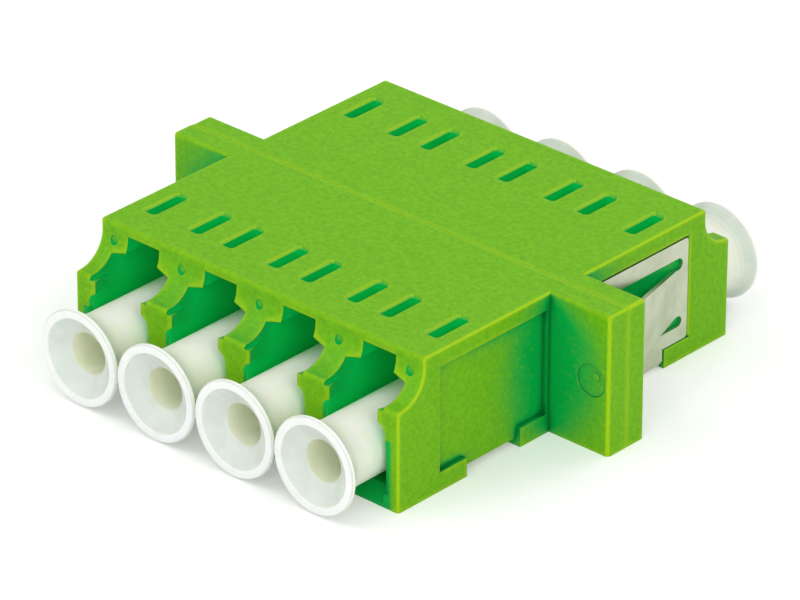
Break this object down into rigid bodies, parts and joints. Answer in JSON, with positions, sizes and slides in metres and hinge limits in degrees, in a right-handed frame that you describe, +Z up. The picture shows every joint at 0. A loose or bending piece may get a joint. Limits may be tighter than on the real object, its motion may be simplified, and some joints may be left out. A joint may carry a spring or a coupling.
{
  "type": "lc fibre adapter",
  "caption": "Flanged LC fibre adapter with a row of latched ports at each end, dust caps and a sheet-steel panel clip.",
  "frame": {"origin": "under the middle of the flange, on the plane that the body stands on", "axes": "+Z up, X across the ports, -Y out of the front ports, +Y out of the rear ports with the clip"},
  "size_m": [0.0348, 0.036, 0.0092],
  "materials": {
    "housing": "lime-green moulded plastic",
    "clip": "bright spring steel sheet",
    "sleeve": "ground white zirconia ceramic",
    "dust_cap": "soft white moulded plastic"
  },
  "bodies": {
    "adapter": {"front_housing": "housing", "rear_housing": "housing", "metal_clip": "clip", "alignment_sleeve_1": "sleeve", "alignment_sleeve_2": "sleeve", "alignment_sleeve_3": "sleeve", "alignment_sleeve_4": "sleeve"},
    "dust_cap_front_1": {"dust_cap_front_1": "dust_cap"},
    "dust_cap_rear_1": {"dust_cap_rear_1": "dust_cap"},
    "dust_cap_front_2": {"dust_cap_front_2": "dust_cap"},
    "dust_cap_rear_2": {"dust_cap_rear_2": "dust_cap"},
    "dust_cap_front_3": {"dust_cap_front_3": "dust_cap"},
    "dust_cap_rear_3": {"dust_cap_rear_3": "dust_cap"},
    "dust_cap_front_4": {"dust_cap_front_4": "dust_cap"},
    "dust_cap_rear_4": {"dust_cap_rear_4": "dust_cap"}
  },
  "joints": [
    {"name": "front_cap_1_pull", "type": "slide", "parent": "adapter", "child": "dust_cap_front_1", "axis": [0, -1, 0], "range_m": [0, 0.0135]},
    {"name": "rear_cap_1_pull", "type": "slide", "parent": "adapter", "child": "dust_cap_rear_1", "axis": [0, 1, 0], "range_m": [0, 0.0135]},
    {"name": "front_cap_2_pull", "type": "slide", "parent": "adapter", "child": "dust_cap_front_2", "axis": [0, -1, 0], "range_m": [0, 0.0135]},
    {"name": "rear_cap_2_pull", "type": "slide", "parent": "adapter", "child": "dust_cap_rear_2", "axis": [0, 1, 0], "range_m": [0, 0.0135]},
    {"name": "front_cap_3_pull", "type": "slide", "parent": "adapter", "child": "dust_cap_front_3", "axis": [0, -1, 0], "range_m": [0, 0.0135]},
    {"name": "rear_cap_3_pull", "type": "slide", "parent": "adapter", "child": "dust_cap_rear_3", "axis": [0, 1, 0], "range_m": [0, 0.0135]},
    {"name": "front_cap_4_pull", "type": "slide", "parent": "adapter", "child": "dust_cap_front_4", "axis": [0, -1, 0], "range_m": [0, 0.0135]},
    {"name": "rear_cap_4_pull", "type": "slide", "parent": "adapter", "child": "dust_cap_rear_4", "axis": [0, 1, 0], "range_m": [0, 0.0135]}
  ]
}
